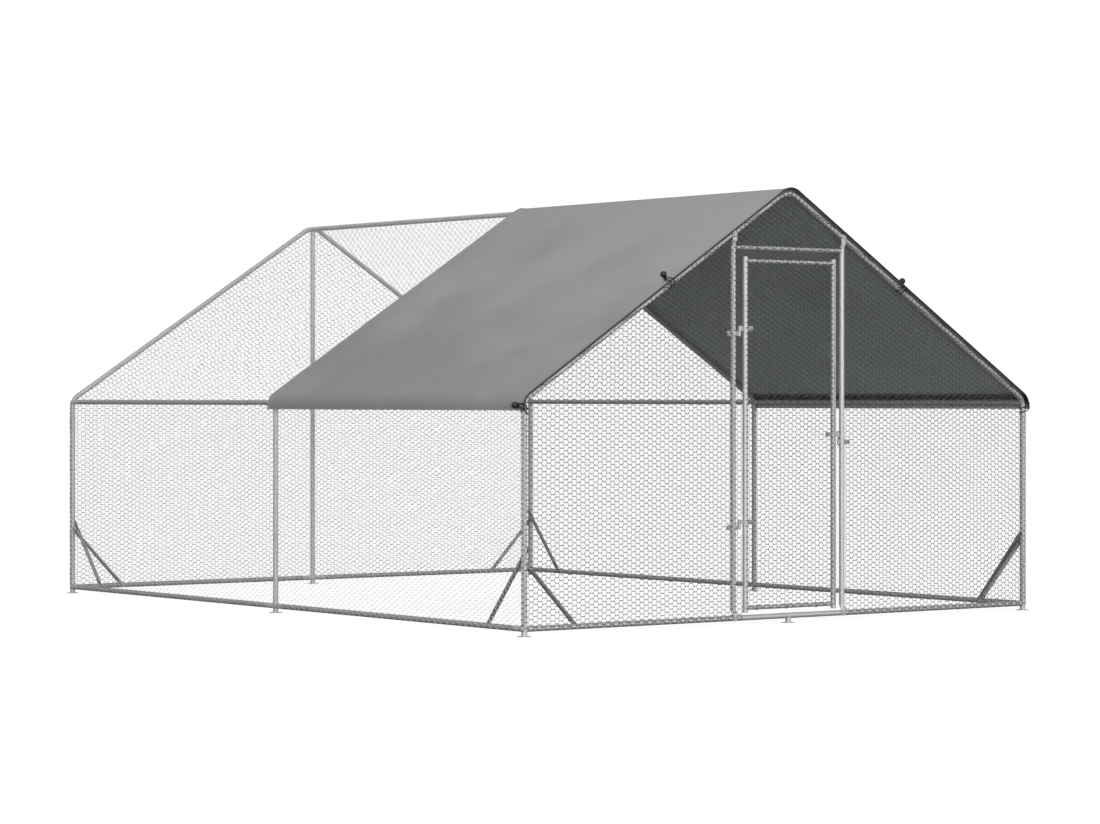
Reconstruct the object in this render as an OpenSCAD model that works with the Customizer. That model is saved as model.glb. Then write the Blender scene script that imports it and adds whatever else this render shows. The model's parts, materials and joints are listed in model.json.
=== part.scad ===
// Walk-in chicken run: push-fit tube frame, wire netting, hinged door, cover over the front bay.
// Millimetres, +Z up, door gable toward -Y, origin in the middle of the floor.

/* [Frame] */
// Width between the centre lines of the wall posts
run_w = 3000; // [2000:10:4000]
// Length between the centre lines of the two gables
run_l = 4000; // [2000:10:8000]
// Height where a post line and its rafter line cross
corner_z = 1018; // [800:1:1400]
// Height where the two rafter lines cross
peak_z = 1979; // [1500:1:2600]
// Height of the ground tubes' centre lines
ground_z = 32.7; // [28:0.1:60]
// How far the eave tubes lie below the crossing of post and rafter
eave_drop = 13; // [8:0.5:25]

/* [Tubes] */
// Outer diameter of the main tubes
tube_d = 25; // [19:0.5:38]
// Outer diameter of the lintel, the leaf's rails and the braces
thin_d = 19; // [12:0.5:22]
// Wall of every tube
tube_wall = 1.2; // [0.8:0.1:3]
// Bend radius of the eave elbows
eave_bend = 57; // [40:1:120]
// Bend radius of the apex elbows
apex_bend = 100; // [60:1:200]

/* [Feet and elbows] */
// How much wider than a tube the elbows' bodies are
sleeve_over = 0.6; // [0.4:0.1:4]
// How much wider than a tube the feet's stubs are
foot_over = 0.8; // [0.4:0.1:4]
// Diameter of a foot's plate
plate_d = 62; // [40:1:100]
// Thickness of a foot's plate
plate_t = 2; // [1:0.5:5]
// Reach of a foot's arms
foot_arm = 70; // [50:1:120]
// Reach of the front middle foot's arms
tee_arm = 53; // [40:1:100]
// Straight length of an eave elbow beyond its bend
eave_arm = 40; // [20:1:80]
// Straight length of an apex elbow beyond its bend
apex_arm = 30; // [15:1:80]
// Reach of the arms for eave and ridge tubes
side_arm = 70; // [40:1:120]
// Length of the spigots inside the tubes
spigot_len = 40; // [20:1:80]

/* [Braces and screws] */
// Distance of a brace's foot from its corner
brace_foot = 291; // [150:1:500]
// Height of the gable braces' tops above the ground tubes
gable_brace_top = 301; // [150:1:500]
// Height of the wall braces' tops above the ground tubes
wall_brace_top = 338; // [150:1:500]
// Thickness of a flattened end
tongue_t = 2.3; // [1.6:0.1:4]
// Width of a brace's flattened end
tongue_w = 22; // [16:1:30]
// How much wider than its tube a door post's flattened end is
tongue_over = 3; // [0:0.5:8]
// Length over which a round tube turns flat
neck_len = 24; // [12:1:40]
// Straight length of a brace's flattened end
tongue_len = 40; // [25:1:60]
// Diameter of the screws and bolts
screw_d = 5.4; // [4:0.1:8]
// Diameter of their heads
head_d = 11; // [8:0.5:16]
// Height of their heads
head_h = 4; // [2:0.5:8]
// Length of a screw's shank
screw_len = 6.5; // [5:0.5:10]

/* [Netting] */
// Across the flats of one drawn cell
cell = 400; // [200:10:600]
// Width of a drawn strand
strand = 4; // [2:0.5:10]
// Width of a net's edge
net_edge = 10; // [5:1:20]
// Thickness of a net
net_t = 2; // [1:0.5:4]
// How far a net laps past the tubes' centre lines
net_lap = 5; // [0:1:8]
// Height of the nets' lower edges
net_low = 23; // [5:1:32]

/* [Cover] */
// Overhang in front of the door gable
cover_front = 25; // [15:1:200]
// Overhang behind the middle frame
cover_back = 40; // [20:1:200]
// Thickness of the cover
cover_t = 1.5; // [0.5:0.1:4]
// How far the hems hang below the start of the eave bends
hem_drop = 13.8; // [2:0.1:60]

/* [Ball ties] */
// Distance of the upper ties from the middle
tie_x = 694; // [300:1:1200]
// How far the lower ties lie below the hems
tie_drop = 5; // [3:0.5:20]
// Diameter of a ball
ball_d = 30; // [20:1:40]
// Diameter of the elastic cord
cord_d = 5; // [3:0.5:8]
// Half the distance between the two strands of a tie where they round their tube
tie_half = 10.5; // [9:0.5:20]
// Reach of the upper ties' balls from their rafters
tie_reach = 50; // [46:1:80]
// Reach of the lower ties' balls from their posts
low_reach = 41; // [40:1:80]
// How far the lower ties' balls lie above their strands
low_rise = 28; // [10:1:60]
// How far the balls lie behind the door gable
ball_back = 13; // [8:1:20]

/* [Door] */
// Hinge post's place across the gable
hinge_post_x = -328.5; // [-600:0.5:-200]
// Latch post's place across the gable
latch_post_x = 327.7; // [200:0.1:600]
// Hinge stile's place across the gable
hinge_stile_x = -257; // [-600:0.5:-150]
// Latch stile's place across the gable
latch_stile_x = 275.7; // [150:0.1:600]
// Lower end of the leaf
leaf_low = 55; // [48:1:100]
// How far the lintel lies below the crossing of the rafters
lintel_drop = 271.3; // [220:0.1:600]
// How far the leaf ends below the lintel
leaf_drop = 41.7; // [25:0.1:80]
// How far the lower rail lies above the leaf's lower end
rail_rise = 21.3; // [10:0.1:100]
// How far the upper rail lies below the leaf's upper end
rail_drop = 18.4; // [10:0.1:100]

/* [Hinges and latch] */
// Place of the hinge pins across the gable
pin_x = -291.3; // [-600:0.1:-200]
// Where the posts' hinge straps sit on the leaf's height, as shares
hinge_shares = [0.2405, 0.7837];
// Where the leaf's latch strap sits on the leaf's height, as a share
latch_share = 0.4984; // [0.3:0.0001:0.7]
// Play between the two straps of a hinge
hinge_play = 1.3; // [0.3:0.1:3]
// How far the latch post's strap lies below the leaf's
keeper_drop = 35; // [24:1:60]
// Place of the latch pin across the gable
latch_pin_x = 306.6; // [200:0.1:600]
// Height of a strap
strap_h = 22; // [12:1:40]
// Thickness of a strap's band
strap_t = 1.6; // [1:0.1:3]
// Reach of a post strap beyond its post
post_tail = 36; // [26:1:60]
// Reach of a leaf strap beyond its stile
leaf_tail = 46; // [26:1:60]
// Reach of the keeper beyond its post
keeper_tail = 48; // [26:1:60]
// Diameter of the hinge pins
pin_d = 8; // [5:0.5:12]
// Outer diameter of the hinge eyes
eye_d = 14; // [10:0.5:20]
// Diameter of the latch pin
bolt_pin_d = 6; // [4:0.5:10]
// Outer diameter of the latch eyes
latch_eye_d = 11.6; // [9:0.1:16]
// Length of the latch pin below its head
bolt_pin_len = 63; // [50:1:90]

/* [Hidden] */
$fn = 48;
hull_fn = 32;
cord_sides = 10;
cut = 1;
skin = 0.5;
slip = 0.2;
gap = 0.3;
pin_gap = 0.05;
nut_d = 10;
half_w = run_w / 2;
half_l = run_l / 2;
slope = atan((peak_z - corner_z) / half_w);
turn = 90 - slope;
sleeve_d = tube_d + sleeve_over;
foot_d = tube_d + foot_over;
eave_tangent = eave_bend * tan(turn / 2);
bend_z = corner_z - eave_tangent;
apex_tangent = apex_bend * tan(slope);
rafter_run = half_w / cos(slope);
eave_z = corner_z - eave_drop;
eave_x = half_w - eave_bend * (1 - cos(asin((eave_z - bend_z) / eave_bend)));
ridge_z = peak_z - apex_bend * (1 / cos(slope) - 1);
hem_z = bend_z - hem_drop;
tie_z = hem_z - tie_drop;
lintel_z = peak_z - lintel_drop;
leaf_top = lintel_z - leaf_drop;
leaf_h = leaf_top - leaf_low;
rail_low = leaf_low + rail_rise;
rail_top = leaf_top - rail_drop;
post_strap_z = [for (share = hinge_shares) leaf_low + share * leaf_h];
leaf_strap_z = [for (z = post_strap_z) z + strap_h + hinge_play];
latch_strap_z = leaf_low + latch_share * leaf_h;
keeper_z = latch_strap_z - keeper_drop;
mid_y = (max(cover_front, plate_d / 2) - plate_d / 2) / 2;
front_y = mid_y - half_l;
rear_y = mid_y + half_l;
tube_r = tube_d / 2;
spigot_d = tube_d - 2 * tube_wall - 2 * slip;
bend_d = sleeve_d - 2 * slip;
seat = tube_r + slip;
post_tongue_w = tube_d + tongue_over;
tongue_mid = seat + tongue_t / 2;
tongue_face = seat + tongue_t;
hole_d = screw_d + 2 * gap;
net_in = foot_d / 2 + slip;
cover_in = net_in + net_t + gap;
tie_back = sleeve_d / 2 + cord_d;
strand_y = cover_front + cord_d / 2 + 2 * gap;
strand_under = cover_in - cord_d - 2 * cut;
strand_over = cover_in + cover_t + cord_d / 2 + 2 * gap;
strand_gap = (cord_d + gap) / 2;
lintel_end = sqrt(max(0, seat * seat - thin_d * thin_d / 4));
strap_ring = tube_d + 2 * slip + 2 * strap_t;
post_clear = strap_ring / 2;
lap_rise = tube_r + 2 * cut;
top_lap = tube_d;
notch_w = post_tongue_w + 4 * cut;
notch_low = ground_z + lap_rise + neck_len;
notch_top = top_lap + neck_len;
far = run_w;
steel = [0.66, 0.68, 0.69];
wire = [0.72, 0.74, 0.75];
dark = [0.08, 0.08, 0.09];
cloth = [0.42, 0.43, 0.44];

// Height of a rafter's centre line at a place across the gable
function roof_at(x) = peak_z - abs(x) * tan(slope);

// A tube standing on the XY plane
module pipe(d, len) {
    difference() {
        cylinder(d = d, h = len);
        translate([0, 0, -cut]) cylinder(d = d - 2 * tube_wall, h = len + 2 * cut);
    }
}

// An arm along +Z that ends in a spigot
module arm(d, reach) {
    cylinder(d = d, h = reach);
    translate([0, 0, reach]) cylinder(d = spigot_d, h = spigot_len);
}

// Turns +Z toward +Y or -Y
module along_y(way) {
    rotate([-way * 90, 0, 0]) children();
}

// Turns +Z toward +X or -X
module along_x(way) {
    rotate([0, way * 90, 0]) children();
}

// Puts +Z up the rafter of one side, from the crossing of post and rafter
module up_rafter(side, y) {
    translate([side * half_w, y, corner_z]) rotate([0, -side * turn, 0]) children();
}

// A foot with a post socket and push-fit arms
module foot(x, y, x_arms, y_arms) {
    color(steel) translate([x, y, 0]) {
        cylinder(d = plate_d, h = plate_t);
        arm(foot_d, ground_z + foot_arm);
        translate([0, 0, ground_z]) {
            for (way = x_arms) along_x(way) arm(tube_d, foot_arm);
            for (way = y_arms) along_y(way) arm(tube_d, foot_arm);
        }
    }
}

// The foot in the doorway, which holds no post
module tee_foot() {
    color(steel) translate([0, front_y, 0]) {
        cylinder(d = plate_d, h = plate_t);
        cylinder(d = tube_d, h = ground_z);
        translate([0, 0, ground_z]) for (way = [-1, 1]) along_x(way) arm(foot_d, tee_arm);
    }
}

// A wall post between its foot and its elbow
module post(side, y) {
    low = ground_z + foot_arm;
    color(steel) difference() {
        translate([side * half_w, y, low]) pipe(tube_d, bend_z - eave_arm - low);
        drills();
    }
}

// Two ground tubes across a gable, cut off at the middle foot's arms
module gable_ground(y, middle_arm) {
    color(steel) difference() {
        for (side = [-1, 1]) {
            translate([side * middle_arm, y, ground_z]) along_x(side) pipe(tube_d, half_w - foot_arm - middle_arm);
        }
        drills();
    }
}

// Two tubes along a side, between three frames
module side_tubes(x, z, reach) {
    for (way = [-1, 1]) {
        translate([x, mid_y + way * reach, z]) along_y(way) pipe(tube_d, half_l - 2 * reach);
    }
}

// Two ground tubes along a wall
module wall_ground(side) {
    color(steel) difference() {
        side_tubes(side * half_w, ground_z, foot_arm);
        drills();
    }
}

// The bent piece between post and rafter, with arms for the eave tubes
module eave_elbow(side, y, y_arms) {
    color(steel) {
        translate([side * half_w, y, bend_z + cut]) rotate([180, 0, 0]) arm(sleeve_d, eave_arm + cut);
        translate([side * (half_w - eave_bend), y, bend_z]) rotate([90, 0, 0])
            rotate([0, 0, side > 0 ? 0 : 180 - turn]) rotate_extrude(angle = turn)
                translate([eave_bend, 0]) circle(d = bend_d);
        up_rafter(side, y) translate([0, 0, eave_tangent - cut]) arm(sleeve_d, eave_arm + cut);
        translate([side * eave_x, y, eave_z]) for (way = y_arms) along_y(way) arm(tube_d, side_arm);
    }
}

// A straight rafter
module rafter(side, y) {
    low = eave_tangent + eave_arm;
    high = rafter_run - apex_tangent - apex_arm;
    up_rafter(side, y) translate([0, 0, low]) pipe(tube_d, high - low);
}

// A front rafter, drilled for its door post
module front_rafter(side) {
    color(steel) difference() {
        rafter(side, front_y);
        drills();
    }
}

// The bent piece at the top of a frame, with arms for the ridge
module apex(y, y_arms) {
    color(steel) {
        translate([0, y, peak_z - apex_bend / cos(slope)]) rotate([90, 0, 0])
            rotate([0, 0, 90 - slope]) rotate_extrude(angle = 2 * slope)
                translate([apex_bend, 0]) circle(d = bend_d);
        for (side = [-1, 1]) {
            up_rafter(side, y) translate([0, 0, rafter_run - apex_tangent + cut]) rotate([180, 0, 0])
                arm(sleeve_d, apex_arm + cut);
        }
        translate([0, y, ridge_z]) for (way = y_arms) along_y(way) arm(tube_d, side_arm);
    }
}

// The rear apex also holds the middle post
module post_apex(y) {
    apex(y, [-1]);
    color(steel) translate([0, y, ridge_z]) rotate([180, 0, 0]) arm(tube_d, side_arm);
}

// Middle post of the rear gable
module gable_post() {
    low = ground_z + foot_arm;
    color(steel) translate([0, rear_y, low]) pipe(tube_d, ridge_z - side_arm - low);
}

// A flattened end along +Z with its round tip and screw hole at the origin
module tongue(w, len) {
    difference() {
        union() {
            translate([-w / 2, -tongue_t / 2, 0]) cube([w, tongue_t, len]);
            rotate([90, 0, 0]) cylinder(d = w, h = tongue_t, center = true);
        }
        rotate([90, 0, 0]) cylinder(d = hole_d, h = tongue_t + 2 * cut, center = true);
    }
}

// The stretch where a tube at the top turns into a flat end below, set off sideways
module neck(d, w, shift) {
    hull() {
        translate([-w / 2, -tongue_t / 2, 0]) cube([w, tongue_t, skin]);
        translate([0, shift, neck_len - skin]) cylinder(d = d, h = skin, $fn = hull_fn);
    }
}

// A door post, lapped in front of the ground tube and of the rafter
module door_post(x) {
    low = ground_z + lap_rise + neck_len;
    high = roof_at(x) - top_lap - neck_len;
    color(steel) {
        translate([x, front_y, low]) pipe(tube_d, high - low);
        translate([x, front_y - tongue_mid, ground_z]) {
            tongue(post_tongue_w, lap_rise);
            translate([0, 0, lap_rise]) neck(tube_d, post_tongue_w, tongue_mid);
        }
        translate([x, front_y - tongue_mid, roof_at(x)]) {
            rotate([0, 180, 0]) tongue(post_tongue_w, top_lap);
            translate([0, 0, -top_lap]) rotate([0, 180, 0]) neck(tube_d, post_tongue_w, tongue_mid);
        }
    }
}

// A thin tube between two uprights, hollowed at its ends to meet them
module cross_tube(x0, x1, z) {
    difference() {
        translate([x0, front_y, z]) along_x(1) pipe(thin_d, x1 - x0);
        for (x = [x0, x1]) {
            translate([x, front_y, z - thin_d]) cylinder(d = tube_d + 2 * slip, h = 2 * thin_d);
        }
    }
}

// The stretch where a brace's tube turns flat
module brace_neck() {
    intersection() {
        cylinder(d1 = tongue_w, d2 = thin_d - slip, h = neck_len);
        rotate([90, 0, 90]) translate([0, 0, -tongue_w]) linear_extrude(height = 2 * tongue_w) polygon([
            [-tongue_t / 2, -cut], [tongue_t / 2, -cut],
            [tongue_t / 2, 0], [thin_d / 2, neck_len], [thin_d / 2, neck_len + cut],
            [-thin_d / 2, neck_len + cut], [-thin_d / 2, neck_len], [-tongue_t / 2, 0]
        ]);
    }
}

// A brace along +Z between two screw holes
module brace(len) {
    bare = tongue_len + neck_len;
    for (end = [0, 1]) {
        translate([0, 0, end * len]) rotate([0, end * 180, 0]) {
            tongue(tongue_w, tongue_len + cut);
            translate([0, 0, tongue_len]) brace_neck();
        }
    }
    translate([0, 0, bare - cut]) cylinder(d = thin_d, h = len - 2 * (bare - cut));
}

// Puts its children at a gable brace's foot, +Z toward its top
module at_gable_brace(side, way) {
    y = mid_y + way * (half_l - tongue_mid);
    translate([side * (half_w - brace_foot), y, ground_z])
        rotate([0, side * atan2(brace_foot, gable_brace_top), 0]) children();
}

// Puts its children at a wall brace's foot, +Z toward its top
module at_wall_brace(side, way) {
    translate([side * (half_w - tongue_mid), mid_y + way * (half_l - brace_foot), ground_z])
        rotate([-way * atan2(brace_foot, wall_brace_top), 0, 0]) rotate([0, 0, 90]) children();
}

// The two braces of each corner
module corner_braces() {
    color(steel) for (side = [-1, 1], way = [-1, 1]) {
        at_gable_brace(side, way) brace(norm([brace_foot, gable_brace_top]));
        at_wall_brace(side, way) brace(norm([brace_foot, wall_brace_top]));
    }
}

// Puts its children at every brace's screws, origin on the flattened end and +Z into the tube
module at_brace_screws() {
    for (side = [-1, 1], way = [-1, 1]) {
        for (p = [[half_w - brace_foot, 0], [half_w, gable_brace_top]]) {
            translate([side * p[0], mid_y + way * (half_l - tongue_face), ground_z + p[1]]) along_y(way) children();
        }
        for (p = [[half_l - brace_foot, 0], [half_l, wall_brace_top]]) {
            translate([side * (half_w - tongue_face), mid_y + way * p[0], ground_z + p[1]]) along_x(side) children();
        }
    }
}

// Puts its children at the door posts' screws, origin on the flattened end and +Z into the tube
module at_post_screws() {
    for (x = [hinge_post_x, latch_post_x]) {
        for (z = [ground_z, roof_at(x)]) {
            translate([x, front_y - tongue_face, z]) along_y(1) children();
        }
    }
}

// Room for every screw's shank
module drills() {
    at_brace_screws() cylinder(d = hole_d, h = screw_len + gap);
    at_post_screws() cylinder(d = hole_d, h = screw_len + gap);
}

// One screw with a low round head
module screw() {
    translate([0, 0, -head_h]) cylinder(d = head_d, h = head_h);
    cylinder(d = screw_d, h = screw_len);
}

// A strap's band in plan: ring round the tube at the origin, tail toward +X, eye toward -X
module strap_plan(reach, tail, eye, hole) {
    difference() {
        union() {
            circle(d = strap_ring);
            translate([-reach, -strap_t]) square([reach + tail, 2 * strap_t]);
            translate([-reach, 0]) circle(d = eye);
        }
        circle(d = tube_d + 2 * slip);
        if (hole > 0) translate([-reach, 0]) circle(d = hole);
    }
}

// A strap with a bolt hole in its tail; eye_way is the side its eye lies on
module strap(x, z, eye_way, reach, tail, eye, hole) {
    translate([x, front_y, z]) rotate([0, 0, eye_way < 0 ? 0 : 180]) difference() {
        translate([0, 0, -strap_h / 2]) linear_extrude(height = strap_h) strap_plan(reach, tail, eye, hole);
        translate([tail - head_d / 2 - cut, 0, 0]) rotate([90, 0, 0])
            cylinder(d = hole_d, h = strap_ring, center = true);
    }
}

// The bolt in a strap's tail, with its nut
module strap_bolt(x, z, tail_way, tail) {
    translate([x + tail_way * (tail - head_d / 2 - cut), front_y - strap_t - slip, z]) along_y(1) {
        grip = 2 * strap_t + 2 * slip;
        translate([0, 0, -head_h]) cylinder(d = head_d, h = head_h);
        cylinder(d = screw_d, h = grip);
        translate([0, 0, grip]) cylinder(d = nut_d, h = head_h, $fn = 6);
    }
}

// Straps on the door posts: two hinge straps with pins, and the keeper
module post_straps() {
    color(steel) {
        for (z = post_strap_z) {
            strap(hinge_post_x, z, 1, pin_x - hinge_post_x, post_tail, eye_d, 0);
            translate([pin_x, front_y, z + strap_h / 2]) cylinder(d = pin_d, h = strap_h + gap);
        }
        strap(latch_post_x, keeper_z, -1, latch_post_x - latch_pin_x, keeper_tail, latch_eye_d, bolt_pin_d + 2 * gap);
    }
}

// Straps on the leaf: two hinge straps with eyes, and the latch strap
module leaf_straps() {
    color(steel) {
        for (z = leaf_strap_z) {
            strap(hinge_stile_x, z, -1, hinge_stile_x - pin_x, leaf_tail, eye_d, pin_d + 2 * pin_gap);
        }
        strap(latch_stile_x, latch_strap_z, 1, latch_pin_x - latch_stile_x, leaf_tail, latch_eye_d,
            bolt_pin_d + 2 * gap);
    }
}

// The upright pin that holds the door shut
module latch_pin() {
    color(dark) translate([latch_pin_x, front_y, latch_strap_z + strap_h / 2 + gap]) {
        cylinder(d = head_d, h = head_h);
        translate([0, 0, -bolt_pin_len]) cylinder(d = bolt_pin_d, h = bolt_pin_len);
    }
}

// Screws of the braces
module brace_screws() {
    color(steel) at_brace_screws() screw();
}

// Screws of the door posts, and the bolts of their straps
module frame_bolts() {
    color(steel) {
        at_post_screws() screw();
        for (z = post_strap_z) strap_bolt(hinge_post_x, z, -1, post_tail);
        strap_bolt(latch_post_x, keeper_z, 1, keeper_tail);
    }
}

// Bolts of the leaf's straps
module leaf_bolts() {
    color(steel) {
        for (z = leaf_strap_z) strap_bolt(hinge_stile_x, z, 1, leaf_tail);
        strap_bolt(latch_stile_x, latch_strap_z, -1, leaf_tail);
    }
}

// A stile of the leaf
module stile(x) {
    color(steel) translate([x, front_y, leaf_low]) pipe(tube_d, leaf_top - leaf_low);
}

// The leaf's two rails
module door_rails() {
    color(steel) for (z = [rail_low, rail_top]) cross_tube(hinge_stile_x, latch_stile_x, z);
}

// Hexagonal cells over a field of the given half width and height
module cells(half_x, high) {
    step = cell * cos(30);
    columns = ceil(half_x / step);
    for (i = [-columns : columns]) {
        for (j = [0 : ceil(high / cell)]) {
            translate([i * step, (j + abs(i % 2) / 2) * cell]) circle(d = (cell - strand) / cos(30), $fn = 6);
        }
    }
}

// A flat net: children 0 is its outline, children 1 the outline of its cells' field
module net(half_x, high) {
    linear_extrude(height = net_t) difference() {
        children(0);
        intersection() {
            children(1);
            cells(half_x, high);
        }
    }
}

// A rectangle about the Y axis
module field(half_x, low, high, inset) {
    translate([-half_x + inset, low + inset]) square([2 * (half_x - inset), high - low - 2 * inset]);
}

// The half plane under one rafter line
module under_roof(side, inset) {
    lap = net_lap - inset;
    translate([side * half_w, corner_z]) rotate(side > 0 ? 180 - slope : slope)
        translate([-far, side > 0 ? -lap : lap - 2 * far]) square([2 * far, 2 * far]);
}

// The outline of a gable
module gable(inset) {
    intersection() {
        field(half_w + net_lap, net_low, ridge_z + net_lap, inset);
        under_roof(-1, inset);
        under_roof(1, inset);
    }
}

// Room for a door post's flattened ends
module post_notch(x, inset) {
    wide = notch_w + 2 * inset;
    translate([x - wide / 2, 0]) square([wide, notch_low + inset]);
    translate([x - wide / 2, roof_at(x) - notch_top - inset]) square([wide, peak_z]);
}

// The part of the door gable between two places across it, above a height
module gable_part(x0, x1, low, inset) {
    difference() {
        intersection() {
            gable(inset);
            translate([x0 + inset, low + inset]) square([x1 - x0 - 2 * inset, peak_z]);
        }
        post_notch(hinge_post_x, inset);
        post_notch(latch_post_x, inset);
    }
}

// A net on the door gable
module gable_part_net(x0, x1, low) {
    color(wire) difference() {
        translate([0, front_y - net_in, 0]) rotate([90, 0, 0]) net(half_w, peak_z) {
            gable_part(x0, x1, low, 0);
            gable_part(x0, x1, low, net_edge);
        }
        tie_cuts();
    }
}

// The net of the rear gable
module rear_gable_net() {
    color(wire) translate([0, rear_y + net_in, 0]) rotate([90, 0, 180]) net(half_w, peak_z) {
        gable(0);
        gable(net_edge);
    }
}

// The net of one wall
module wall_net(side) {
    color(wire) difference() {
        translate([side * (half_w + net_in), mid_y, 0]) rotate([90, 0, side * 90]) net(half_l, bend_z) {
            field(half_l + net_lap, net_low, bend_z, 0);
            field(half_l + net_lap, net_low, bend_z, net_edge);
        }
        tie_cuts();
    }
}

// The net of one roof slope
module roof_net(side) {
    high = rafter_run - apex_tangent;
    color(wire) difference() {
        translate([side * half_w, mid_y, corner_z]) rotate([0, side * slope, 0]) rotate([0, 0, side * 90])
            translate([0, 0, net_in]) net(half_l, high) {
                field(half_l + net_lap, eave_tangent, high, 0);
                field(half_l + net_lap, eave_tangent, high, net_edge);
            }
        tie_cuts();
    }
}

// The net of the leaf
module door_net() {
    middle = (hinge_stile_x + latch_stile_x) / 2;
    half = (latch_stile_x - hinge_stile_x) / 2 - post_clear / 2;
    color(wire) translate([middle, front_y - net_in, 0]) rotate([90, 0, 0]) net(half, rail_top) {
        field(half, rail_low - net_lap, rail_top + net_lap, 0);
        field(half, rail_low - net_lap, rail_top + net_lap, net_edge);
    }
}

// All that lies inside a line drawn round the frame at a distance from its centre lines
module frame_plan(away) {
    rise = away * cos(slope);
    run = away * sin(slope);
    eave_in = eave_tangent * cos(slope);
    eave_up = eave_tangent * sin(slope);
    apex_out = apex_tangent * cos(slope);
    apex_down = apex_tangent * sin(slope);
    polygon([
        [half_w + away, 0],
        [half_w + away, bend_z],
        [half_w - eave_in + run, corner_z + eave_up + rise],
        [apex_out + run, peak_z - apex_down + rise],
        [-apex_out - run, peak_z - apex_down + rise],
        [-half_w + eave_in - run, corner_z + eave_up + rise],
        [-half_w - away, bend_z],
        [-half_w - away, 0]
    ]);
    for (side = [-1, 1]) {
        translate([side * (half_w - eave_bend), bend_z]) circle(r = eave_bend + away);
    }
    translate([0, peak_z - apex_bend / cos(slope)]) circle(r = apex_bend + away);
}

// The cover over the front bay
module roof_cover() {
    color(cloth) difference() {
        translate([0, mid_y + cover_back, 0]) rotate([90, 0, 0])
            linear_extrude(height = half_l + cover_front + cover_back) difference() {
                frame_plan(cover_in + cover_t);
                frame_plan(cover_in);
                translate([-far, hem_z - far]) square([2 * far, far]);
            }
        tie_room(ball_back - cord_d);
    }
}

// Puts its children at a ball tie: tube along Z, ball toward +X, door gable's front toward -Y
module at_tie(side, upper) {
    flip = side > 0 ? 0 : 180;
    if (upper) {
        up_rafter(side, front_y) translate([0, 0, (half_w - tie_x) / cos(slope)]) rotate([0, flip, 0]) children();
    } else {
        translate([side * half_w, front_y, tie_z]) rotate([0, flip, 0]) children();
    }
}

// Room for the strands of every tie, from a place in front of the gable to behind the tubes
module tie_room(front) {
    for (side = [-1, 1], upper = [false, true]) {
        rise = upper ? 0 : low_rise;
        half = tie_half + cord_d;
        low = side > 0 ? -half : -half - rise;
        back = tie_back + cord_d;
        at_tie(side, upper) translate([-back, front, low])
            cube([back + tie_reach, back - front, 2 * half + rise]);
    }
}

// Room for the ties in a net
module tie_cuts() {
    tie_room(-strand_y - cord_d);
}

// A vector's direction
function unit(v) = v / norm(v);

// Direction of a route at one of its points
function heading(route, i) = unit(
    (i > 0 ? unit(route[i] - route[i - 1]) : [0, 0, 0])
    + (i < len(route) - 1 ? unit(route[i + 1] - route[i]) : [0, 0, 0])
);

// A direction square to a route, carried along it from its start
function carried(route, i) = let (
    t = heading(route, i),
    n = i > 0 ? carried(route, i - 1) : [0, 0, 1]
) unit(n - (n * t) * t);

// Points round a route at one of its points
function ring(route, i, r) = let (n = carried(route, i), b = cross(heading(route, i), n)) [
    for (k = [0 : cord_sides - 1])
        route[i] + r * (cos(360 * k / cord_sides) * n + sin(360 * k / cord_sides) * b)
];

// A round cord along a route
module swept(route, d) {
    n = cord_sides;
    last = len(route) - 1;
    skin_points = [for (i = [0 : last]) for (p = ring(route, i, d / 2)) p];
    sides = [
        for (i = [0 : last - 1]) for (k = [0 : n - 1])
            for (f = [[0, n, (k + 1) % n - k], [(k + 1) % n - k, n, n + (k + 1) % n - k]])
                [for (step = f) i * n + k + step]
    ];
    ends = [[for (k = [0 : n - 1]) k], [for (k = [n - 1 : -1 : 0]) last * n + k]];
    polyhedron(points = skin_points, faces = concat(sides, ends));
}

// Half a tie's route: from its ball behind the tube, round it, up in front of the cover to the ball's neck
function half_route(way, ring_r, reach, rise) = let (
    neck = reach - ball_d / 2 - cord_d,
    hook = neck + cord_d / 2,
    z = way * tie_half,
    hook_y = ball_back + 2 * strand_gap,
    hook_z = 3 * strand_gap
) concat(
    [for (n = [reach, neck]) [n, ball_back, rise + way * strand_gap]],
    [for (a = [90 : 20 : 230]) [ring_r * cos(a), ring_r * sin(a), z]],
    [for (n = [strand_under, strand_over]) [n, -strand_y, z + rise * n / hook]],
    [[hook, hook_y - strand_gap, rise + way * hook_z], [hook, hook_y, rise + way * (hook_z - strand_gap)]]
);

// One tie's cord, doubled round the tube
module tie_cord(round_d, reach, rise) {
    ring_r = round_d / 2 + 2 * slip + cord_d / 2;
    out = half_route(1, ring_r, reach, rise);
    back = half_route(-1, ring_r, reach, rise);
    swept(concat(out, [for (i = [len(back) - 1 : -1 : 0]) back[i]]), cord_d);
}

// The elastic cords of the ties
module bungee_loops() {
    color(dark) for (side = [-1, 1]) {
        at_tie(side, true) tie_cord(tube_d, tie_reach, 0);
        at_tie(side, false) tie_cord(sleeve_d, low_reach, side * low_rise);
    }
}

// A ball with the hole its cord comes out of
module ball() {
    difference() {
        sphere(d = ball_d);
        rotate([0, -90, 0]) translate([0, 0, -cord_d]) cylinder(d = 2 * cord_d + 4 * gap, h = ball_d);
    }
}

// The balls of the ties
module bungee_balls() {
    color(dark) for (side = [-1, 1]) {
        at_tie(side, true) translate([tie_reach, ball_back, 0]) ball();
        at_tie(side, false) translate([low_reach, ball_back, side * low_rise]) ball();
    }
}

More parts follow.
